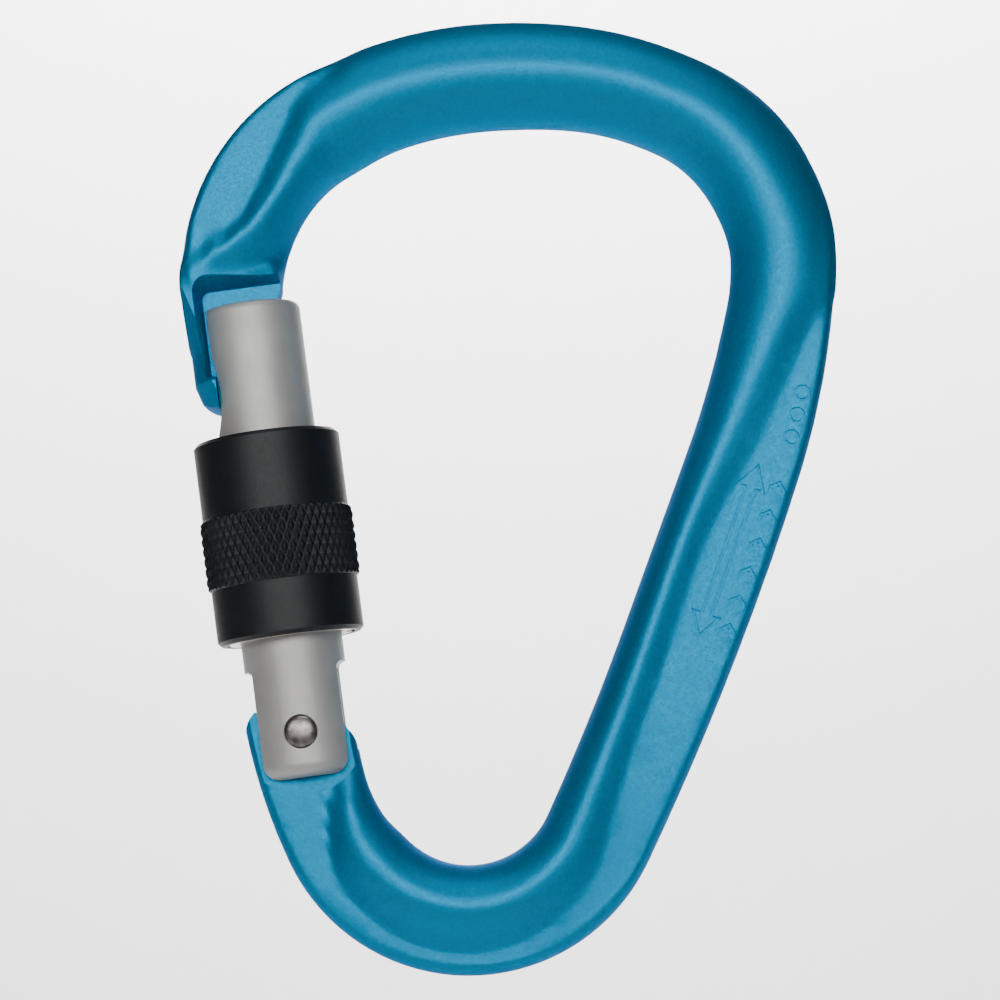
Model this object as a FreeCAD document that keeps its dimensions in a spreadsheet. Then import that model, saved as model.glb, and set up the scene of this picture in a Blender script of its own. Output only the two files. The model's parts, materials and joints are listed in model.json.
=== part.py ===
"""Pear-shaped screw-gate carabiner, in millimetres.

The row frame stands the carabiner on its long axis: +Z runs from the narrow lower bow to the
wide upper bow, +X from the gate to the spine, and Y through the thickness.  The origin is where
a sling hangs in the upper bow, at the inner apex of the bar.

The gate side has a frame of its own, gate_line: its origin is the hinge rivet, its Z runs along
the gate's axis and its X points into the carabiner.  Everything on the gate, and every cut that
makes room for it in the forging, is drawn in that frame.
"""
import FreeCAD
import Part
import Sketcher
import math
import os

V = FreeCAD.Vector
Z_AXIS = V(0, 0, 1)
Y_AXIS = V(0, 1, 0)

DOC = FreeCAD.newDocument("locking_carabiner")
SHEET = DOC.addObject("Spreadsheet::Sheet", "sizes")

SIZES = [
    # the forging's outer outline, as tangent arcs
    ("bow_radius", 52.4, "upper bow, outer arc"),
    ("bow_left", 39.7, "outermost reach on the gate side of the apex"),
    ("bow_right", 37.0, "outermost reach on the spine side of the apex"),
    ("gate_corner_radius", 27.0, "outer arc between bow and nose"),
    ("spine_corner_radius", 26.2, "outer arc between bow and spine"),
    ("spine_corner_overrun", 2.2, "degrees that the corner turns past the vertical"),
    ("neck_radius", 92.0, "outer arc where the spine starts"),
    ("spine_radius", 350.0, "outer arc of the spine"),
    ("foot_radius", 23.0, "lower bow, outer arc"),
    ("foot_inset", 18.35, "lower bow's centre, square to the gate line from the rivet"),
    ("foot_drop", 7.4, "lower bow's centre, below the rivet along the gate line"),
    ("leg_radius", 67.0, "outer arc between lower bow and hinge"),
    ("leg_stand", 0.6, "leg's outer side beyond the barrel"),
    ("leg_outside", "barrel_radius + leg_stand", "rivet to the leg's outer side"),
    # the gate's line
    ("gate_tilt", 7.65, "degrees that the gate leans out of the vertical"),
    ("gate_reach", 52.4, "rivet to the step above the nose"),
    ("step_rise", 0.8, "step above the centre of the gate-side corner"),
    ("nose_stand", 1.6, "nose's outer side beyond the barrel"),
    ("nose_outside", "barrel_radius + nose_stand", "forging's outer side at the nose"),
    # hinge
    ("hinge_plate_half", 2.5, "half the thickness of the forging at the hinge"),
    ("hinge_face_depth", 0.15, "the round hinge face below the forging's skin"),
    ("hinge_face_room", 0.1, "between the legs' sweep and the edge of the round hinge face"),
    ("hinge_face_radius", "sqrt(leg_end^2 + leg_half_width^2) + hinge_face_room", "hinge face"),
    ("slot_clearance", 0.15, "each side, between a plate and the slot it works in"),
    ("rivet_radius", 1.6, "shank of the rivet"),
    ("rivet_clearance", 0.05, "radial, between the rivet and the forging"),
    ("rivet_head_step", 0.27, "domed head beyond the shank"),
    ("rivet_head_radius", "rivet_radius + rivet_head_step", "domed head"),
    ("rivet_seat_room", 0.1, "radial, between the head and its counterbore"),
    ("rivet_seat_radius", "rivet_head_radius + rivet_seat_room", "counterbore"),
    ("rivet_seat_depth", 0.8, "from the barrel's surface"),
    ("rivet_dome", 0.55, "height of the dome"),
    ("rivet_dome_start", 0.25, "below the barrel's surface"),
    ("ear_outer_height", 3.0, "tip of the outer ear above the rivet"),
    ("ear_outer_room", 0.3, "tip of the outer ear beyond the legs' flats"),
    ("ear_outer_offset", "leg_half_width + ear_outer_room", "tip of the outer ear"),
    ("ear_inner_height", -0.1, "tip of the inner ear above the rivet"),
    ("ear_inner_room", 0.2, "tip of the inner ear beyond the legs' flats"),
    ("ear_inner_offset", "leg_half_width + ear_inner_room", "tip of the inner ear"),
    ("cam_height", 4.0, "rivet to the plunger's tip with the gate closed"),
    ("cam_lift", 2.4, "rise of the plunger for each radian of opening"),
    # nose
    ("web_half", 2.3, "half the thickness of the web that the gate closes over"),
    ("web_setback", 2.05, "web's inner edge inside the barrel's surface"),
    ("web_inside", "barrel_radius - web_setback", "web's inner edge from the gate line"),
    ("nose_tip_drop", 13.9, "nose tip below the step"),
    ("nose_round_stand", 1.5, "round nose beyond the barrel"),
    ("nose_round", "barrel_radius + nose_round_stand", "radius of the nose about the gate line"),
    ("nose_round_length", 7.2, "the rounded nose starts this far below the step"),
    ("nose_shoulder", 2.6, "widening of the nose above its round part"),
    ("nose_shoulder_length", 13.0, "length of that widening"),
    ("nose_tip_taper", 1.1, "narrowing of the nose towards its tip"),
    ("nose_tip_length", 3.2, "length of that narrowing"),
    ("hook_depth", 9.9, "upper face of the hook below the step"),
    ("hook_bite", 1.25, "hook's inner face inside the barrel's surface"),
    ("hook_inside", "barrel_radius - hook_bite", "hook's inner face from the gate line"),
    ("recess_bite", 0.7, "recess wall inside the barrel's surface"),
    ("recess_inside", "barrel_radius - recess_bite", "recess wall from the gate line"),
    ("recess_draft", 15.0, "degrees of draft on the recess"),
    ("step_draft", 26.0, "degrees of draft on the step over the gate"),
    ("recess_corner", 1.0, "corner of the recess at the web; twice that at its mouth"),
    # gate barrel
    ("barrel_radius", 5.9, "gate barrel"),
    ("barrel_gap", 2.0, "top of the barrel below the step"),
    ("barrel_top_round", 0.9, "edge at the top of the barrel"),
    ("leg_end", 5.15, "gate's hinge end below the rivet"),
    ("leg_end_round", 1.6, "edge at the hinge end"),
    ("leg_flat", 1.0, "depth of the flats beside the hinge"),
    ("leg_half_width", "barrel_radius - leg_flat", "flats from the gate line"),
    ("leg_flat_height", 7.75, "top of the flats above the rivet"),
    ("leg_corner", 1.9, "corners of the legs"),
    ("hinge_slot_height", 7.0, "top of the hinge slot above the rivet"),
    ("nose_slot_clearance", 0.9, "bottom of the nose slot below the nose tip"),
    ("nose_slot_room", 0.65, "between the web and the back wall of the nose slot"),
    ("nose_slot_wall", "web_inside + nose_slot_room", "back wall from the gate line"),
    ("scallop_radius", 15.0, "relief beside the hook"),
    ("hook_clearance", 0.32, "between the hook and the relief"),
    ("prong_clearance", 0.3, "between the prongs and the recess wall"),
    ("bore_radius", 1.9, "spring bore along the barrel"),
    ("bore_top", 30.0, "end of the spring bore above the rivet"),
    # thread between barrel and sleeve
    ("thread_pitch", 2.5, "advance for each turn of the sleeve"),
    ("thread_depth", 0.5, "groove in the barrel"),
    ("thread_lead", 2.1, "lower end of the groove above the sleeve's bottom"),
    ("thread_start", "sleeve_start + thread_lead", "lower end above the rivet"),
    ("thread_length", 18.2, "groove along the barrel"),
    ("thread_end", "thread_start + thread_length", "upper end above the rivet"),
    # locking sleeve and its ring
    ("sleeve_length", 23.7, "locking sleeve"),
    ("sleeve_gap", 3.7, "top of the sleeve below the nose tip, unlocked"),
    ("sleeve_start", "gate_reach - nose_tip_drop - sleeve_gap - sleeve_length", "sleeve's bottom"),
    ("hood_clearance", 0.3, "radial, between the sleeve's hood and the nose"),
    ("hood_wall", 0.85, "wall of the hood"),
    ("sleeve_radius", "nose_round + hood_clearance + hood_wall", "outside of the sleeve"),
    ("sleeve_edge", 0.45, "chamfer at both ends"),
    ("grip_start", 6.4, "knurled band above the sleeve's bottom"),
    ("grip_length", 8.3, "knurled band"),
    ("grip_stand", 0.41, "knurled band beyond the sleeve"),
    ("grip_radius", "sleeve_radius + grip_stand", "outside of the knurled band"),
    ("sleeve_bore_clearance", 0.2, "radial, between sleeve and barrel"),
    ("hood_depth", 6.6, "hood at the top of the sleeve"),
    ("ring_wall", 1.15, "sleeve's wall round the retaining ring"),
    ("ring_outer", "sleeve_radius - ring_wall", "retaining ring"),
    ("ring_room", 0.4, "radial, between the retaining ring and the barrel"),
    ("ring_inner", "barrel_radius + ring_room", "retaining ring"),
    ("ring_thickness", 1.0, "retaining ring"),
    ("ring_edge", 0.25, "chamfer on the ring's visible edges"),
    ("ring_split", 2.0, "gap in the ring"),
    ("ring_fit", 0.06, "between the ring and its seat in the sleeve"),
    # gate spring and plunger
    ("plunger_fit", 0.05, "radial, between plunger and bore"),
    ("plunger_length", 8.0, "from the plunger's tip to the spring"),
    ("plunger_stem_room", 0.32, "radial, between the stem and the spring"),
    ("plunger_stem_radius", "spring_coil_radius - spring_wire_radius - plunger_stem_room", "stem"),
    ("plunger_stem_length", 3.5, "stem inside the spring"),
    ("spring_wire_radius", 0.28, "spring wire"),
    ("spring_fit", 0.12, "radial, between the spring and its bore"),
    ("spring_coil_radius", "bore_radius - spring_fit - spring_wire_radius", "middle of the wire"),
    ("spring_coils", 9.0, "number of turns"),
    # edges of the forging's sections
    ("edge_round", 1.15, "rounding of the flange's edges"),
    ("crest_fullness", 1.75, "shape of the rib's sides: 2 is an ellipse, less is more ridged"),
    ("rib_blend", 1.2, "fillet where the rib meets the flange"),
    # marks pressed into the spine
    ("mark_depth", 0.28, "depth of the marks"),
    ("mark_floor", "spine_upper_flange - mark_depth", "their floor from mid-thickness"),
    ("mark_line", 0.38, "width of a pressed line"),
]

# The forging's cross-section at stations along the bar, from nose to hinge.  Each station lies at
# a fraction of one arc of the outline.  A section is a rib, whose crest stands off the inner edge,
# on a flange that reaches both edges.  Columns: arc, fraction, bar width, crest from the inner
# edge, rib's reach outwards from its crest, rib half-thickness, flange half-thickness from the
# crest outwards, flange half-thickness at the inner edge.
SECTION_COLUMNS = ("width", "crest", "reach", "rib", "flange", "inner")
HINGE_FLANGE = "hinge_plate_half + hinge_face_depth"
STATIONS = [
    ("nose", 0, 0.0, 11.7, 10.4, 5.0, 5.3, 4.7, 4.7),
    ("step", 1, 0.02, 11.7, 10.4, 5.0, 5.5, 4.9, 4.9),
    ("brow", 1, 0.13, 12.0, 10.0, 3.6, 5.8, 5.2, 3.6),
    ("cheek", 1, 0.205, 12.2, 7.4, 3.0, 6.0, 5.2, 2.4),
    ("temple", 1, 0.337, 12.5, 4.7, 2.9, 6.05, 4.9, 1.6),
    ("crown", 1, 0.56, 12.75, 3.8, 3.7, 6.1, 4.6, 1.3),
    ("brim", 1, 0.8, 12.9, 4.8, 4.6, 6.15, 4.4, 1.1),
    ("bow_entry", 2, 0.0, 13.0, 6.8, 5.4, 6.2, 4.2, 1.0),
    ("bow_near", 2, 0.15, 12.7, 6.7, 6.2, 6.2, 1.5, 1.0),
    ("apex", 2, 0.5, 12.9, 6.45, 6.45, 6.2, 1.0, 1.0),
    ("bow_far", 2, 0.85, 12.4, 6.2, 6.2, 6.2, 1.0, 1.0),
    ("corner", 3, 0.55, 12.75, 6.0, 6.6, 6.15, 1.8, 1.1),
    ("shoulder", 4, 0.1, 12.2, 6.2, 7.2, 5.95, 4.1, 1.4),
    ("nape", 4, 0.4, 12.7, 5.3, 5.8, 5.8, 4.3, 1.7),
    ("neck", 4, 0.8, 13.2, 4.0, 5.6, 5.6, 4.4, 2.0),
    ("spine_upper", 5, 0.27, 13.6, 2.9, 3.8, 5.4, 4.4, 2.2),
    ("spine_lower", 5, 0.75, 13.1, 3.3, 3.9, 5.5, 4.4, 2.0),
    ("ankle", 6, 0.12, 12.75, 4.0, 5.4, 5.7, 3.9, 1.5),
    ("foot", 6, 0.5, 12.7, 4.7, 5.6, 6.0, 3.0, 1.2),
    ("heel", 6, 0.86, 12.8, 4.4, 5.2, 5.6, 2.7, 1.4),
    ("shin", 7, 0.22, 11.9, 2.6, 3.0, 4.0, HINGE_FLANGE, HINGE_FLANGE),
    ("hinge", 7, 0.5, 12.2, 1.5, 1.5, 2.2, HINGE_FLANGE, HINGE_FLANGE),
    ("ears", 7, 1.0, 13.0, 1.5, 1.5, 2.2, HINGE_FLANGE, HINGE_FLANGE),
]


def ngon(along, radius, count=18):
    """Corners of a regular polygon centred on a row of marks."""
    turns = [2 * math.pi * i / count for i in range(count)]
    return [(along + radius * math.cos(turn), radius * math.sin(turn)) for turn in turns]


def chevron(along, half):
    """A chevron that points along the spine."""
    return [(along - half, -half), (along + 0.1 * half, -half), (along + half, 0),
            (along + 0.1 * half, half), (along - half, half), (along, 0)]


# Rows of marks: (arc, fraction) of the row's middle, its distance in from the outer edge, and its
# outlines, each a list of (along the spine, across the spine) corners.
ARROW = [(-10.8, 0), (-7.6, -1.85), (-7.6, -0.75), (7.6, -0.75), (7.6, -1.85),
         (10.8, 0), (7.6, 1.85), (7.6, 0.75), (-7.6, 0.75), (-7.6, 1.85)]
MARKS = [
    ((5, 0.24), 5.25, [ARROW]),
    ((5, 0.24), 2.3, [chevron(-8.75 + 3.5 * i, 1.0) for i in range(6)]),
    ((4, 0.75), 2.4, [ngon(-2.7 + 2.7 * i, 1.0) for i in range(3)]),
]
SECTION_SPACING = 2.6
SECTION_POINTS = 28
FAR = 30.0


def fill_sheet():
    """Write every size into the sheet, one named cell each; text is a formula of other sizes."""
    rows = list(SIZES)
    for station in STATIONS:
        for column, value in zip(SECTION_COLUMNS, station[3:]):
            rows.append((f"{station[0]}_{column}", value, "section of the forging"))
    for index, (name, value, note) in enumerate(rows, start=1):
        SHEET.set(f"A{index}", name)
        SHEET.set(f"C{index}", note)
        SHEET.setAlias(f"B{index}", name)
        if not isinstance(value, str):
            SHEET.set(f"B{index}", str(value))
    for index, row in enumerate(rows, start=1):
        if isinstance(row[1], str):
            SHEET.set(f"B{index}", f"={row[1]}")
    DOC.recompute()


def size(name):
    return float(getattr(SHEET, name))


# ---------------------------------------------------------------- outline and gate line

def on_circle(centre, radius, degrees):
    angle = math.radians(degrees)
    return centre + V(math.cos(angle), 0, math.sin(angle)) * radius


def bearing(start, end):
    """Polar angle in degrees, in the XZ plane, of the direction from start to end."""
    return math.degrees(math.atan2(end.z - start.z, end.x - start.x))


def meet(centre_a, radius_a, centre_b, radius_b):
    """The crossing of two circles of the XZ plane that lies left of the way from a to b."""
    across = centre_b - centre_a
    gap = across.Length
    along = (radius_a ** 2 - radius_b ** 2 + gap ** 2) / (2 * gap)
    off = math.sqrt(radius_a ** 2 - along ** 2)
    unit = across / gap
    return centre_a + unit * along + V(-unit.z, 0, unit.x) * off


def make_gate_line():
    """The gate's frame, tied to the corner circle that the nose hangs from."""
    line = DOC.addObject("App::Placement", "gate_line")
    line.Placement = FreeCAD.Placement(V(0, 0, 0), FreeCAD.Rotation(Y_AXIS, -size("gate_tilt")))
    drop = "(sizes.step_rise - sizes.gate_reach)"
    side = "(sizes.gate_corner_radius - sizes.nose_outside)"
    tilt = "(sizes.gate_tilt * 1 deg)"
    corner_x = "(sizes.gate_corner_radius - sizes.bow_left)"
    corner_z = ("(sizes.apex_width - sizes.bow_radius + sqrt((sizes.bow_radius"
                " - sizes.gate_corner_radius)^2 - (sizes.bow_left - sizes.gate_corner_radius)^2))")
    line.setExpression("Placement.Rotation.Angle", "-sizes.gate_tilt * 1 deg")
    line.setExpression("Placement.Base.x", f"{corner_x} - {side} * cos({tilt}) - {drop} * sin({tilt})")
    line.setExpression("Placement.Base.z", f"{corner_z} - {side} * sin({tilt}) + {drop} * cos({tilt})")
    DOC.recompute()
    return line


def outline_arcs(gate):
    """The outer outline from nose to hinge: a straight, then clockwise tangent arcs.

    Each arc is (centre, radius, first polar angle, sweep), the straight is (start, end).
    """
    bow_r, near_r, far_r = size("bow_radius"), size("gate_corner_radius"), size("spine_corner_radius")
    neck_r, spine_r = size("neck_radius"), size("spine_radius")
    foot_r, leg_r = size("foot_radius"), size("leg_radius")
    bow = V(0, 0, size("apex_width") - bow_r)
    near_x = near_r - size("bow_left")
    near = V(near_x, 0, bow.z + math.sqrt((bow_r - near_r) ** 2 - near_x ** 2))
    far_x = size("bow_right") - far_r
    far = V(far_x, 0, bow.z + math.sqrt((bow_r - far_r) ** 2 - far_x ** 2))
    neck = on_circle(far, neck_r - far_r, 180 - size("spine_corner_overrun"))
    foot = gate.multVec(V(size("foot_inset"), 0, -size("foot_drop")))
    spine = meet(foot, spine_r - foot_r, neck, spine_r - neck_r)
    side = gate.multVec(V(-size("leg_outside"), 0, 0))
    leg = meet(side, leg_r, foot, leg_r - foot_r)
    gate_back = 180 + size("gate_tilt")
    past_rivet = math.degrees((size("ear_outer_height") + 1.5) / leg_r)
    stops = [gate_back, bearing(bow, near), bearing(bow, far), -size("spine_corner_overrun"),
             bearing(spine, neck), bearing(spine, foot), bearing(leg, foot),
             bearing(leg, side) - past_rivet]
    circles = [(near, near_r), (bow, bow_r), (far, far_r), (neck, neck_r), (spine, spine_r),
               (foot, foot_r), (leg, leg_r)]
    arcs = [(centre, radius, stops[i], stops[i + 1] - stops[i])
            for i, (centre, radius) in enumerate(circles)]
    top = on_circle(near, near_r, gate_back)
    tip = top - gate.Rotation.multVec(Z_AXIS) * (size("nose_tip_drop") + 1.0)
    return tip, top, arcs


class Outline:
    """Points and inward normals along the outer outline."""

    def __init__(self, gate):
        self.tip, self.top, self.arcs = outline_arcs(gate)
        self.gate = gate
        self.starts = [0.0, (self.top - self.tip).Length]
        for centre, radius, first, sweep in self.arcs:
            self.starts.append(self.starts[-1] + radius * math.radians(abs(sweep)))

    def distance(self, part, fraction):
        return self.starts[part] + fraction * (self.starts[part + 1] - self.starts[part])

    def at(self, distance):
        part = max(i for i in range(len(self.starts) - 1) if distance >= self.starts[i] - 1e-9)
        run = distance - self.starts[part]
        if part == 0:
            inward = self.gate.Rotation.multVec(V(1, 0, 0))
            return self.tip + (self.top - self.tip).normalize() * run, inward
        centre, radius, first, sweep = self.arcs[part - 1]
        point = on_circle(centre, radius, first + math.copysign(math.degrees(run / radius), sweep))
        return point, (centre - point).normalize()


# ---------------------------------------------------------------- forging

def steady_curve(places, values):
    """A smooth function through the values that never swings past them between stations."""
    slopes = [0.0] * len(places)
    rises = [(values[i + 1] - values[i]) / (places[i + 1] - places[i]) for i in range(len(places) - 1)]
    for i in range(1, len(places) - 1):
        if rises[i - 1] * rises[i] > 0:
            slopes[i] = 2 * rises[i - 1] * rises[i] / (rises[i - 1] + rises[i])

    def value(place):
        i = max(k for k in range(len(places) - 1) if place >= places[k] or k == 0)
        span = places[i + 1] - places[i]
        t = min(max((place - places[i]) / span, 0.0), 1.0)
        return (values[i] * (1 + 2 * t) * (1 - t) ** 2 + values[i + 1] * t * t * (3 - 2 * t)
                + span * (slopes[i] * t * (1 - t) ** 2 - slopes[i + 1] * t * t * (1 - t)))
    return value


def outward(solid):
    """The solid with its faces turned outwards."""
    if solid.Volume < 0:
        solid.reverse()
    return solid


def smooth_larger(a, b, blend):
    overlap = max(blend - abs(a - b), 0.0)
    return max(a, b) + overlap ** 2 / (4 * blend)


def round_off(offset, reach, fullness=2.0):
    """Height of a rounded shoulder, 1 at its crest and 0 at its reach; 2 makes it an ellipse."""
    return max(1 - (offset / reach) ** fullness, 0.0) ** (1 / fullness)


def half_thickness(inset, section):
    """Half the forging's thickness at a distance from its inner edge."""
    width, crest = section["width"], section["crest"]
    if inset < crest:
        rib = section["rib"] * round_off(crest - inset, crest, size("crest_fullness"))
    else:
        rib = section["rib"] * round_off(inset - crest, section["reach"], size("crest_fullness"))
    edge = min(inset, width - inset)
    share = min(inset / crest, 1.0) ** 2
    flange = section["inner"] + (section["flange"] - section["inner"]) * share
    flange *= round_off(max(size("edge_round") - edge, 0.0), size("edge_round"))
    blend = size("rib_blend") * min(edge / size("edge_round"), 1.0)
    return smooth_larger(rib, flange, blend) if blend > 0 else 0.0


def evenly_spaced(points, count):
    """The points of a polyline that divide it into equal lengths."""
    walked = [0.0]
    for before, after in zip(points, points[1:]):
        walked.append(walked[-1] + (after - before).Length)
    spaced, i = [points[0]], 0
    for step in range(1, count):
        target = walked[-1] * step / count
        while walked[i + 1] < target:
            i += 1
        share = (target - walked[i]) / (walked[i + 1] - walked[i])
        spaced.append(points[i] + (points[i + 1] - points[i]) * share)
    return spaced + [points[-1]]


def section_points(outline, distance, section):
    """Half of one cross-section, from the inner edge over the -Y face to the outer edge."""
    outer, inward = outline.at(distance)
    width = section["width"]
    samples = 12 * SECTION_POINTS
    points = []
    for step in range(samples + 1):
        inset = width * (1 - math.cos(math.pi * step / samples)) / 2
        height = 0.0 if step in (0, samples) else half_thickness(inset, section)
        points.append(outer + inward * (width - inset) - V(0, height, 0))
    return evenly_spaced(points, SECTION_POINTS)


def make_blank(outline):
    """The bar before the hinge and nose are cut: a smooth skin over each face, and flat ends."""
    places = [outline.distance(station[1], station[2]) for station in STATIONS]
    curves = {}
    for column in SECTION_COLUMNS:
        values = [size(f"{station[0]}_{column}") for station in STATIONS]
        curves[column] = steady_curve(places, values)
    total = outline.starts[-1]
    count = int(total / SECTION_SPACING)
    rows = []
    for index in range(count + 1):
        distance = total * index / count
        section = {column: curves[column](distance) for column in SECTION_COLUMNS}
        rows.append(section_points(outline, distance, section))
    skin = Part.BSplineSurface()
    skin.interpolate(rows)
    front = skin.toShape()
    back = front.mirror(V(0, 0, 0), Y_AXIS)
    ends = []
    for row in (rows[0], rows[-1]):
        rims = [edge for face in (front, back) for edge in face.Edges
                if all(min(vertex.Point.distanceToPoint(row[end]) for end in (0, -1)) < 1e-4
                       for vertex in edge.Vertexes)]
        ends.append(Part.Face(Part.Wire(rims)))
    shell = Part.makeShell([front, back] + ends)
    shell.sewShape()
    blank = DOC.addObject("Part::Feature", "blank")
    blank.Shape = outward(Part.makeSolid(shell))
    return blank


# ---------------------------------------------------------------- helpers for the pieces

def bound(kind, name, **expressions):
    """A document object whose properties follow expressions on the sheet."""
    thing = DOC.addObject(kind, name)
    for prop, expression in expressions.items():
        thing.setExpression(prop.replace("__", "."), expression)
    return thing


def cylinder_up(name, radius, start, height):
    """A cylinder along the gate line, from start."""
    return bound("Part::Cylinder", name, Radius=radius, Height=height, Placement__Base__z=start)


def cylinder_across(name, radius, start, height):
    """A cylinder along Y through the rivet's centre, from start."""
    rod = bound("Part::Cylinder", name, Radius=radius, Height=height)
    rod.Placement = FreeCAD.Placement(V(0, 0, 0), FreeCAD.Rotation(V(1, 0, 0), -90))
    rod.setExpression("Placement.Base.y", start)
    return rod


def block(name, low, high):
    """A box between two corners, each given as three expressions."""
    return bound("Part::Box", name, Length=f"({high[0]}) - ({low[0]})",
                 Width=f"({high[1]}) - ({low[1]})", Height=f"({high[2]}) - ({low[2]})",
                 Placement__Base__x=low[0], Placement__Base__y=low[1], Placement__Base__z=low[2])


def fused(name, pieces):
    whole = DOC.addObject("Part::MultiFuse", name)
    whole.Shapes = pieces
    whole.Refine = False
    return whole


def cut(name, base, tool):
    result = DOC.addObject("Part::Cut", name)
    result.Base, result.Tool = base, tool
    result.Refine = False
    return result


def draw_polygon(sketch, corners):
    """Close a polygon whose corners are pairs of expressions, each bound to the sheet."""
    points = [V(*(SHEET.evalExpression(text) for text in corner), 0) for corner in corners]
    count = len(points)
    for i in range(count):
        sketch.addGeometry(Part.LineSegment(points[i], points[(i + 1) % count]), False)
    for i in range(count):
        sketch.addConstraint(Sketcher.Constraint("Coincident", i, 2, (i + 1) % count, 1))
    for i, corner in enumerate(corners):
        for direction, axis, text in (("DistanceX", -2, corner[0]), ("DistanceY", -1, corner[1])):
            if text == "0":
                sketch.addConstraint(Sketcher.Constraint("PointOnObject", i, 1, axis))
                continue
            value = SHEET.evalExpression(text)
            index = sketch.addConstraint(Sketcher.Constraint(direction, -1, 1, i, 1, value))
            sketch.setExpression(f"Constraints[{index}]", text)


def turned(name, corners):
    """A body turned about the gate line from a half profile of (radius, height) corners."""
    body = DOC.addObject("PartDesign::Body", name)
    sketch = body.newObject("Sketcher::SketchObject", f"{name}_profile")
    plane = next(item for item in body.Origin.OriginFeatures if item.Role == "XZ_Plane")
    sketch.AttachmentSupport = (plane, [""])
    sketch.MapMode = "FlatFace"
    draw_polygon(sketch, corners)
    DOC.recompute()
    turn = body.newObject("PartDesign::Revolution", f"{name}_turned")
    turn.Profile = sketch
    turn.ReferenceAxis = (sketch, ["V_Axis"])
    turn.Angle = 360
    body.Tip = turn
    DOC.recompute()
    return body


def round_edge(body, height, radius_name):
    """Round the outermost circular edge of a turned body at a height."""
    base = body.Tip
    rims = [(edge.Curve.Radius, f"Edge{i}") for i, edge in enumerate(base.Shape.Edges, start=1)
            if edge.Curve.TypeId == "Part::GeomCircle" and abs(edge.Curve.Center.z - height) < 1e-6]
    fillet = body.newObject("PartDesign::Fillet", f"{body.Name}_{radius_name}")
    fillet.Base = (base, [max(rims)[1]])
    fillet.setExpression("Radius", f"sizes.{radius_name}")
    body.Tip = fillet
    DOC.recompute()


def helical(name, corners, start, turns):
    """A thread form swept along a helix about the gate line."""
    helix = bound("Part::Helix", f"{name}_helix", Pitch="sizes.thread_pitch",
                  Height=f"sizes.thread_pitch * ({turns})", Radius="sizes.barrel_radius",
                  Placement__Base__z=start)
    profile = DOC.addObject("Sketcher::SketchObject", f"{name}_profile")
    profile.Placement = FreeCAD.Placement(V(0, 0, 0), FreeCAD.Rotation(V(1, 0, 0), 90))
    draw_polygon(profile, corners)
    DOC.recompute()
    sweep = DOC.addObject("Part::Sweep", name)
    sweep.Sections = [profile]
    sweep.Spine = (helix, [f"Edge{i + 1}" for i in range(len(helix.Shape.Edges))])
    sweep.Frenet = True
    sweep.Solid = True
    return sweep


def rounded_wire(corners):
    """A closed wire in the XZ plane from (x, z, radius) corners; radius 0 keeps a corner sharp."""
    count = len(corners)
    points = [V(x, 0, z) for x, z, radius in corners]
    stretches = []
    for i in range(count):
        before, here, after = points[i - 1], points[i], points[(i + 1) % count]
        radius = corners[i][2]
        if radius == 0:
            stretches.append((here, here, here))
            continue
        back, ahead = (before - here).normalize(), (after - here).normalize()
        half = back.getAngle(ahead) / 2
        reach = radius / math.tan(half)
        middle = here + (back + ahead).normalize() * (radius / math.sin(half) - radius)
        stretches.append((here + back * reach, middle, here + ahead * reach))
    edges = []
    for i, (first, middle, last) in enumerate(stretches):
        if first != last:
            edges.append(Part.Arc(first, middle, last).toShape())
        edges.append(Part.LineSegment(last, stretches[(i + 1) % count][0]).toShape())
    return Part.Wire(edges)


def plate(name, wire, low, high):
    """A flat slab with the wire's outline, from y = low to y = high."""
    slab = DOC.addObject("Part::Feature", name)
    wire.translate(V(0, low, 0))
    slab.Shape = outward(Part.Face(wire).extrude(V(0, high - low, 0)))
    return slab


# ---------------------------------------------------------------- cuts in the forging

def recess(name, side):
    """The drafted recess on one face of the nose, above and beside its hook."""
    deep = 6.0
    wires = []
    for depth, corner in ((0.0, size("recess_corner")), (deep, 3 * size("recess_corner"))):
        slope = depth * math.tan(math.radians(size("recess_draft")))
        wall = -size("recess_inside") - slope
        step = size("gate_reach") + depth * math.tan(math.radians(size("step_draft")))
        shelf = size("gate_reach") - size("hook_depth") - slope
        below = size("gate_reach") - size("nose_tip_drop") - FAR / 4
        wire = rounded_wire([(wall, step, corner), (FAR / 2, step, 0), (FAR / 2, below, 0),
                             (-size("hook_inside"), below, 0), (-size("hook_inside"), shelf, 0),
                             (wall, shelf, corner / 4)])
        wire.translate(V(0, side * (size("web_half") + depth), 0))
        wires.append(wire)
    pocket = DOC.addObject("Part::Feature", name)
    pocket.Shape = outward(Part.makeLoft(wires, True, True))
    return pocket


def nose_outline():
    """Everything between the nose and the spine, cut through the whole thickness."""
    step = size("gate_reach")
    tip = step - size("nose_tip_drop")
    web, hook, outside = size("web_inside"), size("hook_inside"), size("nose_outside")
    corners = [(web + 1.6, step + 2.6, 0), (web - 0.25, step - 1.6, 4.0),
               (-hook + 2.25, tip + 1.8, 1.0), (-hook + 1.25, tip, 0.8), (0.7 - outside, tip + 0.3, 2.6),
               (-outside - 0.6, tip + 6.0, 0), (-FAR / 2, tip + 6.0, 0),
               (-FAR / 2, tip - 3, 0), (FAR / 2, tip - 3, 0), (FAR / 2, step + 2.6, 0)]
    return plate("nose_outline", rounded_wire(corners), -FAR / 2, FAR / 2)


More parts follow.
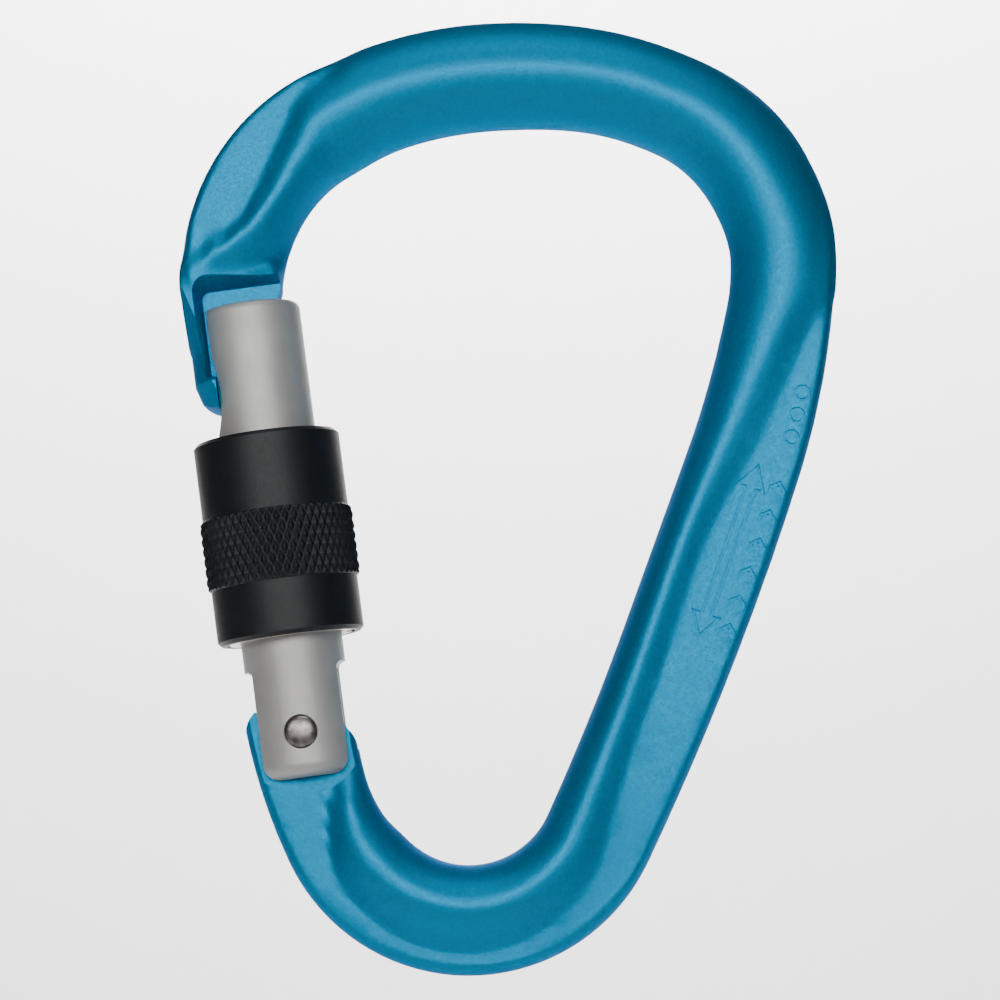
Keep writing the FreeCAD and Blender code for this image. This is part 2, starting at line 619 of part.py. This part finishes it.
def cam_edge():
    """The hinge plate's top, which lifts the round-nosed plunger evenly as the gate opens."""
    ball = size("bore_radius") - size("plunger_fit")
    lift = size("cam_lift")
    points = []
    for degrees in range(-6, 40, 4):
        turn = math.radians(degrees)
        pitch_radius = size("cam_height") + ball + lift * turn
        out = V(math.sin(turn), 0, math.cos(turn))
        side = V(math.cos(turn), 0, -math.sin(turn))
        normal = (out * pitch_radius - side * lift).normalize()
        points.append(out * pitch_radius - normal * ball)
    curve = Part.BSplineCurve()
    curve.interpolate(points)
    return curve.toShape(), points[0], points[-1]


def hinge_outline():
    """Everything above the hinge plate's ears and cam, cut through the whole thickness."""
    cam, cam_start, cam_end = cam_edge()
    outer, high = size("leg_outside"), size("ear_outer_height")
    offset = size("ear_outer_offset")
    inner, low = size("ear_inner_offset"), size("ear_inner_height")
    ear_foot = V(-outer - 0.25, 0, high - 3.6)
    ear_tip = V(-offset, 0, high)
    ear_inside = V(-offset + 1.1, 0, high - 0.9)
    heel_tip = V(inner, 0, low)
    heel_foot = V(inner + 0.9, 0, low - 2.6)
    roof = high + 9
    outline = [
        Part.LineSegment(V(-FAR / 2, 0, ear_foot.z), ear_foot).toShape(),
        Part.Arc(ear_foot, V(-outer + 0.25, 0, high - 1.25), ear_tip).toShape(),
        Part.Arc(ear_tip, V(-offset + 0.65, 0, high - 0.2), ear_inside).toShape(),
        Part.LineSegment(ear_inside, cam_start).toShape(),
        cam,
        Part.Arc(cam_end, V(inner - 0.75, 0, low + 2.1), heel_tip).toShape(),
        Part.Arc(heel_tip, V(inner + 0.6, 0, low - 0.9), heel_foot).toShape(),
        Part.LineSegment(heel_foot, V(FAR / 2, 0, heel_foot.z)).toShape(),
        Part.LineSegment(V(FAR / 2, 0, heel_foot.z), V(FAR / 2, 0, roof)).toShape(),
        Part.LineSegment(V(FAR / 2, 0, roof), V(-FAR / 2, 0, roof)).toShape(),
        Part.LineSegment(V(-FAR / 2, 0, roof), V(-FAR / 2, 0, ear_foot.z)).toShape(),
    ]
    return plate("hinge_outline", Part.Wire(outline), -FAR / 2, FAR / 2)


def marks(outline):
    """Outlines pressed into the front of the spine: a double arrow, chevrons and rings."""
    line = size("mark_line")
    grooves = []
    for station, inset, shapes in MARKS:
        middle, inward = outline.at(outline.distance(*station))
        away = V(inward.z, 0, -inward.x)
        for corners in shapes:
            face = Part.Face(Part.makePolygon([middle + inward * (inset + across) + away * along
                                               for along, across in corners + corners[:1]]))
            inner = face.makeOffset2D(-line)
            rim = face.cut(inner)
            grooves.append(rim.extrude(V(0, -FAR / 10, 0)))
    pressed = DOC.addObject("Part::Feature", "marks")
    pressed.Shape = grooves[0].multiFuse(grooves[1:])
    pressed.Placement.Base = V(0, -size("mark_floor"), 0)
    return pressed


def nose_trim():
    """All that lies outside the round nose, which the sleeve's hood closes over."""
    tip = "(sizes.gate_reach - sizes.nose_tip_drop)"
    start = "(sizes.gate_reach - sizes.nose_round_length)"
    return turned("nose_trim", [
        ("sizes.nose_round - sizes.nose_tip_taper", f"{tip} - 0.5"),
        ("sizes.nose_round", f"{tip} + sizes.nose_tip_length"), ("sizes.nose_round", start),
        ("sizes.nose_round + sizes.nose_shoulder", f"{start} + sizes.nose_shoulder_length"),
        ("sizes.nose_round + 9", f"{start} + sizes.nose_shoulder_length"),
        ("sizes.nose_round + 9", f"{tip} - 0.5")])


def make_forging(gate_line):
    outline = Outline(gate_line.Placement)
    blank = make_blank(outline)
    hole = cylinder_across("rivet_hole", "sizes.rivet_radius + sizes.rivet_clearance", "-10", "20")
    faces = [cylinder_across(f"hinge_face_{name}", "sizes.hinge_face_radius", start, "6")
             for name, start in (("front", "-sizes.hinge_plate_half - 6"),
                                 ("back", "sizes.hinge_plate_half"))]
    cuts = fused("forging_cuts", [recess("recess_front", -1), recess("recess_back", 1),
                                  nose_outline(), hinge_outline(), nose_trim(), hole] + faces)
    cuts.setExpression("Placement", "gate_line.Placement")
    return cut("forging", cut("trimmed_blank", blank, cuts), marks(outline))


# ---------------------------------------------------------------- gate, rivet, spring, plunger

def gate_barrel():
    """The turned barrel, slotted at both ends, relieved for the nose and grooved for the sleeve."""
    top = "(sizes.gate_reach - sizes.barrel_gap)"
    tip = "(sizes.gate_reach - sizes.nose_tip_drop)"
    hook = "(sizes.gate_reach - sizes.hook_depth)"
    body = turned("barrel", [("0", "-sizes.leg_end"), ("sizes.barrel_radius", "-sizes.leg_end"),
                             ("sizes.barrel_radius", top), ("0", top)])
    round_edge(body, size("gate_reach") - size("barrel_gap"), "barrel_top_round")
    round_edge(body, -size("leg_end"), "leg_end_round")
    hinge_half = "(sizes.hinge_plate_half + sizes.slot_clearance)"
    web_half = "(sizes.web_half + sizes.slot_clearance)"
    hinge_slot = block("hinge_slot", ("-8", f"-{hinge_half}", "-sizes.leg_end - 1"),
                       ("8", hinge_half, "sizes.hinge_slot_height"))
    nose_slot = block("nose_slot", ("-8", f"-{web_half}", f"{tip} - sizes.nose_slot_clearance"),
                      ("sizes.nose_slot_wall", web_half, f"{top} + 1"))
    scallop = cylinder_across("hook_relief", "sizes.scallop_radius", "-8", "16")
    scallop.setExpression("Placement.Base.x", "sizes.hook_clearance - sizes.hook_inside"
                                              " - sizes.scallop_radius")
    scallop.setExpression("Placement.Base.z", f"({tip} + {hook}) / 2")
    prongs = block("prong_relief", ("-8", "-8", f"({tip} + {hook}) / 2"),
                   ("sizes.prong_clearance - sizes.recess_inside", "8", f"{top} + 1"))
    bore = cylinder_up("spring_bore", "sizes.bore_radius", "0", "sizes.bore_top")
    shank = cylinder_across("leg_holes", "sizes.rivet_radius", "-8", "16")
    seats = [cylinder_across(f"rivet_seat_{name}", "sizes.rivet_seat_radius", start, "3")
             for name, start in (("back", "sizes.barrel_radius - sizes.rivet_seat_depth"),
                                 ("front", "sizes.rivet_seat_depth - sizes.barrel_radius - 3"))]
    flats = plate("leg_sides", leg_wire(), -FAR / 2, FAR / 2)
    groove = helical("groove", thread_form("sizes.barrel_radius - sizes.thread_depth", 0.25,
                                           "sizes.barrel_radius + 0.3", "sizes.thread_start"),
                     "sizes.thread_start",
                     "(sizes.thread_end - sizes.thread_start) / sizes.thread_pitch")
    cuts = fused("barrel_cuts", [hinge_slot, nose_slot, scallop, prongs, bore, shank, flats] + seats)
    slotted = cut("slotted_barrel", body, cuts)
    return cut("threaded_barrel", slotted, groove)


def thread_form(root, root_half, crest, start):
    """Corners of a 60 degree thread, from its narrow root outwards."""
    slope = math.tan(math.radians(30))
    wide = f"({root_half} + ({crest} - ({root})) * {slope:.4f})"
    return [(root, f"{start} - {root_half}"), (crest, f"{start} - {wide}"),
            (crest, f"{start} + {wide}"), (root, f"{start} + {root_half}")]


def leg_wire():
    """All that lies beside and below the hinge legs."""
    half, end, top = size("leg_half_width"), size("leg_end"), size("leg_flat_height")
    corner = size("leg_corner")
    return rounded_wire([(-12, end - 20, 0), (-12, top, 0), (-half, top, 0.8), (-half, -end, corner),
                         (half, -end, corner), (half, top, 0.8), (12, top, 0), (12, end - 20, 0)])


def hinge_rivet():
    shank = cylinder_across("rivet_shank", "sizes.rivet_radius",
                            "sizes.rivet_seat_depth - sizes.barrel_radius",
                            "2 * (sizes.barrel_radius - sizes.rivet_seat_depth)")
    head_height = "sizes.rivet_seat_depth - sizes.rivet_dome_start"
    pieces = [shank]
    for name, side in (("front", -1), ("back", 1)):
        start = ("sizes.barrel_radius - sizes.rivet_seat_depth" if side > 0
                 else "sizes.rivet_dome_start - sizes.barrel_radius")
        pieces.append(cylinder_across(f"rivet_head_{name}", "sizes.rivet_head_radius", start,
                                      head_height))
        dome = bound("Part::Ellipsoid", f"rivet_dome_{name}", Radius1="sizes.rivet_dome",
                     Radius2="sizes.rivet_head_radius", Radius3="sizes.rivet_head_radius")
        dome.Placement = FreeCAD.Placement(V(0, 0, 0), FreeCAD.Rotation(V(1, 0, 0), -90))
        dome.setExpression("Placement.Base.y",
                           f"{side} * (sizes.barrel_radius - sizes.rivet_dome_start)")
        pieces.append(dome)
    return fused("rivet", pieces)


def spring_plunger():
    """The pin that the spring presses on the hinge plate's cam; its nose is a half ball."""
    ball = "(sizes.bore_radius - sizes.plunger_fit)"
    nose = bound("Part::Sphere", "plunger_nose", Radius=ball,
                 Placement__Base__z=f"sizes.cam_height + {ball}")
    rod = cylinder_up("plunger_rod", ball, f"sizes.cam_height + {ball}",
                      f"sizes.plunger_length - {ball}")
    stem = cylinder_up("plunger_stem", "sizes.plunger_stem_radius",
                       "sizes.cam_height + sizes.plunger_length", "sizes.plunger_stem_length")
    return fused("plunger", [nose, rod, stem])


def gate_spring():
    start = "(sizes.cam_height + sizes.plunger_length + sizes.spring_wire_radius)"
    height = f"(sizes.bore_top - sizes.spring_wire_radius - {start})"
    helix = bound("Part::Helix", "spring_helix", Pitch=f"{height} / sizes.spring_coils",
                  Height=height, Radius="sizes.spring_coil_radius", Placement__Base__z=start)
    wire = bound("Part::Circle", "spring_wire", Radius="sizes.spring_wire_radius",
                 Placement__Base__x="sizes.spring_coil_radius", Placement__Base__z=start)
    wire.Placement = FreeCAD.Placement(wire.Placement.Base, FreeCAD.Rotation(V(1, 0, 0), 90))
    DOC.recompute()
    coil = DOC.addObject("Part::Sweep", "spring")
    coil.Sections = [wire]
    coil.Spine = (helix, [f"Edge{i + 1}" for i in range(len(helix.Shape.Edges))])
    coil.Frenet = True
    coil.Solid = True
    return coil


# ---------------------------------------------------------------- locking sleeve and its ring

def locking_sleeve():
    """The knurled sleeve: threaded below, and a wide hood above that closes over the nose."""
    bottom = "sizes.sleeve_start"
    top = f"({bottom} + sizes.sleeve_length)"
    grip = f"({bottom} + sizes.grip_start)"
    grip_top = f"({grip} + sizes.grip_length)"
    bore = "(sizes.barrel_radius + sizes.sleeve_bore_clearance)"
    hood = "(sizes.nose_round + sizes.hood_clearance)"
    seat = "(sizes.ring_outer + sizes.ring_fit)"
    seat_top = f"({bottom} + sizes.ring_thickness + sizes.ring_fit)"
    slope = "(sizes.grip_radius - sizes.sleeve_radius)"
    body = turned("sleeve", [
        (seat, bottom), ("sizes.sleeve_radius - sizes.sleeve_edge", bottom),
        ("sizes.sleeve_radius", f"{bottom} + sizes.sleeve_edge"), ("sizes.sleeve_radius", grip),
        ("sizes.grip_radius", f"{grip} + {slope}"), ("sizes.grip_radius", f"{grip_top} - {slope}"),
        ("sizes.sleeve_radius", grip_top), ("sizes.sleeve_radius", f"{top} - sizes.sleeve_edge"),
        ("sizes.sleeve_radius - sizes.sleeve_edge", top), (hood, top),
        (hood, f"{top} - sizes.hood_depth"), (bore, f"{top} - sizes.hood_depth"),
        (bore, seat_top), (seat, seat_top)])
    ridge = helical("ridge", thread_form("sizes.barrel_radius - sizes.thread_depth + 0.12", 0.15,
                                         f"{bore} + 0.15", "sizes.thread_start + sizes.thread_pitch"),
                    "sizes.thread_start + sizes.thread_pitch", "2")
    return fused("threaded_sleeve", [body, ridge])


def sleeve_ring():
    """The split ring in the sleeve's lower mouth."""
    bottom = "sizes.sleeve_start"
    top = f"({bottom} + sizes.ring_thickness)"
    body = turned("ring", [
        ("sizes.ring_inner + sizes.ring_edge", bottom), ("sizes.ring_outer - sizes.ring_edge", bottom),
        ("sizes.ring_outer", f"{bottom} + sizes.ring_edge"), ("sizes.ring_outer", top),
        ("sizes.ring_inner", top), ("sizes.ring_inner", f"{bottom} + sizes.ring_edge")])
    split = block("ring_gap", ("0", "-sizes.ring_split / 2", f"{bottom} - 1"),
                  ("10", "sizes.ring_split / 2", f"{top} + 1"))
    return cut("split_ring", body, split)


# ---------------------------------------------------------------- assembly

def main():
    fill_sheet()
    gate_line = make_gate_line()
    pieces = [("body_frame", make_forging(gate_line))]
    for label, piece in (("gate_barrel", gate_barrel()), ("hinge_rivet", hinge_rivet()),
                         ("gate_spring", gate_spring()), ("spring_plunger", spring_plunger()),
                         ("locking_sleeve", locking_sleeve()), ("sleeve_ring", sleeve_ring())):
        piece.setExpression("Placement", "gate_line.Placement")
        pieces.append((label, piece))
    DOC.recompute()
    for thing in DOC.Objects:
        if "Invalid" in thing.State or "Error" in thing.State:
            raise RuntimeError(f"{thing.Name} did not compute: {thing.State}")
    os.makedirs("parts", exist_ok=True)
    for label, piece in pieces:
        piece.Label = label
        if piece.Shape.isNull() or not piece.Shape.isValid():
            raise RuntimeError(f"{label} has no valid shape")
        piece.Shape.exportStep(f"parts/{label}.step")
        box = piece.Shape.BoundBox
        print(f"{label}: {len(piece.Shape.Solids)} solid, {piece.Shape.Volume:.0f} mm3, "
              f"x {box.XMin:.1f} to {box.XMax:.1f}, y {box.YMin:.1f} to {box.YMax:.1f}, "
              f"z {box.ZMin:.1f} to {box.ZMax:.1f}")


main()
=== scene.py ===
"""Looks for the screw-gate carabiner: knurled sleeve, anodised and steel finishes, studio, camera.

Lengths are in metres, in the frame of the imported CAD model: +Z up the carabiner's long axis,
+X from the gate to the spine, -Y towards the camera.
"""

import json
import math

import bmesh
import bpy
from mathutils import Matrix, Vector


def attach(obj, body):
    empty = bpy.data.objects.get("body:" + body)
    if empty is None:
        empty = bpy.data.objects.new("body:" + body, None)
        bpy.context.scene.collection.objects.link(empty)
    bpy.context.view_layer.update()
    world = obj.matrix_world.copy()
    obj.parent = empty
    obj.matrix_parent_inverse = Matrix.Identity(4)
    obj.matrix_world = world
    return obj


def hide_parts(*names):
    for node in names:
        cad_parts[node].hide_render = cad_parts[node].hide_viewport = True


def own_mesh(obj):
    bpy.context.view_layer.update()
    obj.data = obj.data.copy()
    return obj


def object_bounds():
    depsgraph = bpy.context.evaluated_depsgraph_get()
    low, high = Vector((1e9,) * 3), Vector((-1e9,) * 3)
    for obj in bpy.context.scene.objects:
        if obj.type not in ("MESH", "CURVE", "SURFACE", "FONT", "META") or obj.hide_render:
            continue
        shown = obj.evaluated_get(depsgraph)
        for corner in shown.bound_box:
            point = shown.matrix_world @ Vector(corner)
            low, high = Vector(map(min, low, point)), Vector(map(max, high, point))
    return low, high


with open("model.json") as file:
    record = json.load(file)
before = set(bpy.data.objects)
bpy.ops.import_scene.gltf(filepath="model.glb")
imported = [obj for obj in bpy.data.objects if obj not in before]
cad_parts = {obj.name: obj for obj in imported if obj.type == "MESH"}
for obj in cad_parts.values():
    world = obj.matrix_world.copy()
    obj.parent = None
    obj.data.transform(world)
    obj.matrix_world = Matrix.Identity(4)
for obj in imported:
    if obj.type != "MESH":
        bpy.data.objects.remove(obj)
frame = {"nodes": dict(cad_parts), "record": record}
cad_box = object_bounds()

MM = 0.001

# The sleeve's radii and its knurled band, as in the CAD; heights are above the rivet.
SLEEVE_RADIUS = 8.55 * MM
GRIP_RADIUS = 8.96 * MM
GRIP_START = 17.5 * MM
GRIP_END = 25.8 * MM
GRIP_POINTS = 54
GRIP_ROWS = 7
GRIP_ROW = (GRIP_END - GRIP_START) / GRIP_ROWS
GRIP_DEPTH = 0.34 * MM
GRIP_COLUMNS = 14
GRIP_MARGIN = 0.02 * MM
POINT_SHARPNESS = 1.25
POINT_FLAT = 0.2

# Stage and camera.
FLOOR_DROP = 0.45
BACKDROP_GAP = 2.2
STAGE_REACH = 3.0
CAMERA_ELEVATION = -6.2
CAMERA_DISTANCE = 0.40
VIEW_WIDTH = 0.11686
VIEW_CENTRE_X = -0.00237
VIEW_CENTRE_DROP = 0.00089

NODES = frame["nodes"]
JOINTS = {joint["name"]: joint for joint in frame["record"]["behaviour"]["joints"]}

# ------------------------------------------------------------------ places read from the frame

GATE_UP = Vector(JOINTS["sleeve_turn"]["axis"]).normalized()
GATE_BASE = Vector(JOINTS["gate_hinge"]["pos_m"])
GATE_IN = Vector((GATE_UP.z, 0, -GATE_UP.x))
GATE_LINE = Matrix((
    (GATE_IN.x, 0, GATE_UP.x, GATE_BASE.x),
    (0, 1, 0, GATE_BASE.y),
    (GATE_IN.z, 0, GATE_UP.z, GATE_BASE.z),
    (0, 0, 0, 1)))


# ------------------------------------------------------------------ node helpers

class Shader:
    """A material's node tree, built by short calls."""

    def __init__(self, name):
        self.material = bpy.data.materials.new(name)
        self.material.use_nodes = True
        self.tree = self.material.node_tree
        self.bsdf = self.tree.nodes["Principled BSDF"]

    def add(self, kind, **settings):
        node = self.tree.nodes.new(kind)
        for key, value in settings.items():
            if hasattr(node, key):
                setattr(node, key, value)
            else:
                node.inputs[key.replace("_", " ")].default_value = value
        return node

    def link(self, source, target):
        self.tree.links.new(source, target)

    def set(self, **values):
        for key, value in values.items():
            self.bsdf.inputs[key.replace("_", " ")].default_value = value

    def place(self):
        """Object coordinates, which stay with the piece."""
        return self.add("ShaderNodeTexCoord").outputs["Object"]

    def noise(self, scale, detail=2.0, roughness=0.5, stretch=None):
        source = self.place()
        if stretch:
            mapping = self.add("ShaderNodeMapping")
            mapping.inputs["Scale"].default_value = stretch
            self.link(source, mapping.inputs["Vector"])
            source = mapping.outputs["Vector"]
        noise = self.add("ShaderNodeTexNoise", Scale=scale, Detail=detail, Roughness=roughness)
        self.link(source, noise.inputs["Vector"])
        return noise.outputs["Fac"]

    def spread(self, value, low, high, from_low=0.3, from_high=0.7):
        """Map a noise value to a range."""
        node = self.add("ShaderNodeMapRange")
        node.inputs["From Min"].default_value = from_low
        node.inputs["From Max"].default_value = from_high
        node.inputs["To Min"].default_value = low
        node.inputs["To Max"].default_value = high
        self.link(value, node.inputs["Value"])
        return node.outputs["Result"]

    def colours(self, value, stops):
        node = self.add("ShaderNodeValToRGB")
        ramp = node.color_ramp
        while len(ramp.elements) < len(stops):
            ramp.elements.new(0.5)
        for element, (position, colour) in zip(ramp.elements, stops):
            element.position = position
            element.color = (*colour, 1)
        self.link(value, node.inputs["Fac"])
        return node.outputs["Color"]

    def bump(self, heights):
        """Chain of bumps from (height output, distance in metres, strength)."""
        normal = None
        for height, distance, strength in heights:
            node = self.add("ShaderNodeBump", Distance=distance, Strength=strength)
            self.link(height, node.inputs["Height"])
            if normal:
                self.link(normal, node.inputs["Normal"])
            normal = node.outputs["Normal"]
        self.link(normal, self.bsdf.inputs["Normal"])


def blue_anodised():
    """Bead-blasted aluminium dyed blue: fine even grain, slightly mottled, with small glints."""
    m = Shader("blue_anodised")
    m.set(Metallic=0.8, Specular_Tint=(0.0, 0.2, 0.4, 1), Specular_IOR_Level=0.3)
    mottle = m.noise(2600, 4.0, 0.6)
    colour = m.colours(mottle, [(0.3, (0.0, 0.24, 0.46)), (0.7, (0.0, 0.29, 0.54))])
    m.link(colour, m.bsdf.inputs["Base Color"])
    grain = m.noise(4200, 3.0, 0.65)
    pits = m.noise(8500, 2.0, 0.5)
    m.link(m.spread(grain, 0.42, 0.60), m.bsdf.inputs["Roughness"])
    m.bump([(grain, 0.00005, 0.5), (pits, 0.00003, 0.4)])
    return m.material


def silver_anodised():
    """Satin clear-anodised aluminium with faint lines across the gate."""
    m = Shader("silver_anodised")
    m.set(Metallic=0.6, IOR=1.45)
    cloud = m.noise(260, 3.0, 0.5)
    colour = m.colours(cloud, [(0.3, (0.46, 0.455, 0.44)), (0.7, (0.52, 0.515, 0.50))])
    m.link(colour, m.bsdf.inputs["Base Color"])
    lines = m.noise(300, 3.0, 0.7, stretch=(1, 1, 30))
    grain = m.noise(6000, 2.0, 0.5)
    m.link(m.spread(grain, 0.46, 0.58), m.bsdf.inputs["Roughness"])
    m.bump([(lines, 0.00002, 0.2), (grain, 0.00002, 0.25)])
    return m.material


def black_anodised():
    """Satin black anodised aluminium with a fine grain."""
    m = Shader("black_anodised")
    m.set(Metallic=0.0, IOR=1.45, Specular_IOR_Level=0.4)
    cloud = m.noise(300, 3.0, 0.6)
    colour = m.colours(cloud, [(0.3, (0.005, 0.006, 0.008)), (0.7, (0.009, 0.010, 0.012))])
    m.link(colour, m.bsdf.inputs["Base Color"])
    grain = m.noise(5200, 3.0, 0.6)
    m.link(m.spread(grain, 0.40, 0.52), m.bsdf.inputs["Roughness"])
    m.bump([(grain, 0.00003, 0.3)])
    return m.material


def tumbled_steel():
    """Tumbled steel of the rivet and the plunger, mottled and slightly dented."""
    m = Shader("rivet_steel")
    m.set(Metallic=1.0)
    patina = m.noise(900, 4.0, 0.6)
    colour = m.colours(patina, [(0.35, (0.17, 0.15, 0.14)), (0.65, (0.33, 0.30, 0.28))])
    m.link(colour, m.bsdf.inputs["Base Color"])
    dents = m.noise(1700, 2.0, 0.5)
    m.link(m.spread(dents, 0.28, 0.42), m.bsdf.inputs["Roughness"])
    m.bump([(dents, 0.00006, 0.4)])
    return m.material


def ring_steel():
    """Plain steel of the retaining ring, lightly tarnished and scratched."""
    m = Shader("ring_steel")
    m.set(Metallic=1.0)
    tarnish = m.noise(700, 3.0, 0.6)
    colour = m.colours(tarnish, [(0.35, (0.55, 0.50, 0.42)), (0.65, (0.70, 0.66, 0.58))])
    m.link(colour, m.bsdf.inputs["Base Color"])
    scratches = m.noise(2600, 3.0, 0.6)
    m.link(m.spread(scratches, 0.25, 0.4), m.bsdf.inputs["Roughness"])
    m.bump([(scratches, 0.00002, 0.3)])
    return m.material


def spring_steel():
    """Drawn wire."""
    m = Shader("spring_steel")
    m.set(Metallic=1.0)
    drawn = m.noise(1500, 3.0, 0.6)
    colour = m.colours(drawn, [(0.35, (0.34, 0.34, 0.35)), (0.65, (0.48, 0.48, 0.49))])
    m.link(colour, m.bsdf.inputs["Base Color"])
    m.link(m.spread(drawn, 0.22, 0.36), m.bsdf.inputs["Roughness"])
    m.bump([(drawn, 0.00001, 0.3)])
    return m.material


# ------------------------------------------------------------------ pieces

def cover(node, material):
    """Give a CAD node its finish."""
    mesh = NODES[node].data
    mesh.materials.clear()
    mesh.materials.append(material)


def gate_radius(point):
    """Distance of a point from the gate's axis."""
    away = point - GATE_BASE
    return (away - GATE_UP * away.dot(GATE_UP)).length


def gate_height(point):
    return (point - GATE_BASE).dot(GATE_UP)


def wave(value):
    """0 on whole numbers, 1 half way between them."""
    return 2 * abs(value - math.floor(value + 0.5))


def knurl_radius(turn, height):
    """Outer radius of the grip: diamond points between two sets of crossed helical cuts."""
    along = (height - GRIP_START) / (2 * GRIP_ROW)
    around = turn * GRIP_POINTS
    cut = max(wave(around + along), wave(around - along))
    point = GRIP_RADIUS - GRIP_DEPTH * min(max(cut * POINT_SHARPNESS - POINT_FLAT, 0.0), 1.0)
    return min(point, SLEEVE_RADIUS + height - GRIP_START, SLEEVE_RADIUS + GRIP_END - height)


def knurled_sleeve():
    """The CAD sleeve with its plain grip band exchanged for a knurled one."""
    source = NODES["locking_sleeve"]
    mesh = bmesh.new()
    mesh.from_mesh(source.data)
    plain = [face for face in mesh.faces
             if all(gate_radius(vert.co) > SLEEVE_RADIUS - GRIP_MARGIN
                    and GRIP_START - GRIP_MARGIN < gate_height(vert.co) < GRIP_END + GRIP_MARGIN
                    for vert in face.verts)]
    bmesh.ops.delete(mesh, geom=plain, context="FACES")
    columns = GRIP_POINTS * GRIP_COLUMNS
    rows = GRIP_ROWS * GRIP_COLUMNS
    rings = []
    for row in range(rows + 1):
        height = GRIP_START + (GRIP_END - GRIP_START) * row / rows
        ring = []
        for column in range(columns):
            turn = column / columns
            radius = knurl_radius(turn, height)
            angle = 2 * math.pi * turn
            local = Vector((radius * math.cos(angle), radius * math.sin(angle), height))
            ring.append(mesh.verts.new(GATE_LINE @ local))
        rings.append(ring)
    for low, high in zip(rings, rings[1:]):
        for column in range(columns):
            after = (column + 1) % columns
            face = mesh.faces.new((low[column], low[after], high[after], high[column]))
            face.smooth = True
    data = bpy.data.meshes.new("knurled_sleeve")
    mesh.to_mesh(data)
    mesh.free()
    data.materials.clear()
    data.materials.append(black_anodised())
    sleeve = bpy.data.objects.new("knurled_sleeve", data)
    bpy.context.scene.collection.objects.link(sleeve)
    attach(sleeve, "sleeve")
    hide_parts("locking_sleeve")


def shortening_spring(material):
    """A copy of the CAD spring with its own mesh, carried with the gate."""
    data = NODES["gate_spring"].data.copy()
    data.name = "shortening_spring"
    data.materials.clear()
    data.materials.append(material)
    spring = bpy.data.objects.new("shortening_spring", data)
    bpy.context.scene.collection.objects.link(spring)
    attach(spring, "gate")
    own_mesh(spring)
    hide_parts("gate_spring")


# ------------------------------------------------------------------ studio

def stage_material(name, tint):
    m = Shader(name)
    paper = m.noise(40, 3.0, 0.5)
    m.link(m.colours(paper, [(0.3, tint), (0.7, tuple(c * 0.985 for c in tint))]),
           m.bsdf.inputs["Base Color"])
    m.set(Roughness=0.9)
    return m.material


def panel(name, corners, material):
    mesh = bpy.data.meshes.new(name)
    mesh.from_pydata(corners, [], [(0, 1, 2, 3)])
    mesh.materials.append(material)
    thing = bpy.data.objects.new(name, mesh)
    bpy.context.scene.collection.objects.link(thing)


def softbox(name, place, aim, width, height, power):
    light = bpy.data.lights.new(name, "AREA")
    light.shape = "RECTANGLE"
    light.size, light.size_y = width, height
    light.energy = power
    lamp = bpy.data.objects.new(name, light)
    lamp.location = place
    lamp.rotation_euler = (Vector(aim) - Vector(place)).to_track_quat("-Z", "Y").to_euler()
    bpy.context.scene.collection.objects.link(lamp)


def studio(low, high):
    middle = (Vector(low) + Vector(high)) / 2
    floor_z = low[2] - FLOOR_DROP
    back_y = high[1] + BACKDROP_GAP
    pale = stage_material("pale_paper", (0.9, 0.9, 0.9))
    left, right = -STAGE_REACH, STAGE_REACH
    panel("floor", [(left, left, floor_z), (right, left, floor_z),
                    (right, back_y, floor_z), (left, back_y, floor_z)], pale)
    panel("backdrop", [(left, back_y, floor_z), (right, back_y, floor_z),
                       (right, back_y, STAGE_REACH), (left, back_y, STAGE_REACH)], pale)
    softbox("key", middle + Vector((-0.06, -0.75, 0.16)), middle, 0.95, 0.26, 5.2)
    softbox("top", middle + Vector((0, -0.25, 0.7)), middle, 0.5, 0.3, 1.2)
    softbox("backdrop_wash", (0, back_y - 0.7, 1.1), (0, back_y, 0.15), 1.6, 0.5, 105.0)
    world = bpy.data.worlds.new("studio")
    bpy.context.scene.world = world
    world.use_nodes = True
    background = world.node_tree.nodes["Background"]
    background.inputs["Color"].default_value = (1, 1, 1, 1)
    background.inputs["Strength"].default_value = 0.06


def camera(low, high):
    """The photograph's view: square on to the face, from a little below."""
    elevation = math.radians(CAMERA_ELEVATION)
    target = Vector((VIEW_CENTRE_X, 0, (low[2] + high[2]) / 2 - VIEW_CENTRE_DROP))
    data = bpy.data.cameras.new("camera")
    data.sensor_width = 36
    data.lens = data.sensor_width * CAMERA_DISTANCE / VIEW_WIDTH
    eye = bpy.data.objects.new("camera", data)
    back = Vector((0, -math.cos(elevation), math.sin(elevation)))
    eye.location = target + back * CAMERA_DISTANCE
    eye.rotation_euler = (-back).to_track_quat("-Z", "Y").to_euler()
    bpy.context.scene.collection.objects.link(eye)
    bpy.context.scene.camera = eye


FINISHES = {
    "body_frame": blue_anodised(),
    "gate_barrel": silver_anodised(),
    "hinge_rivet": tumbled_steel(),
    "sleeve_ring": ring_steel(),
}
FINISHES["spring_plunger"] = FINISHES["hinge_rivet"]
for node_name, finish in FINISHES.items():
    cover(node_name, finish)

knurled_sleeve()
shortening_spring(spring_steel())
studio(*cad_box)
camera(*cad_box)
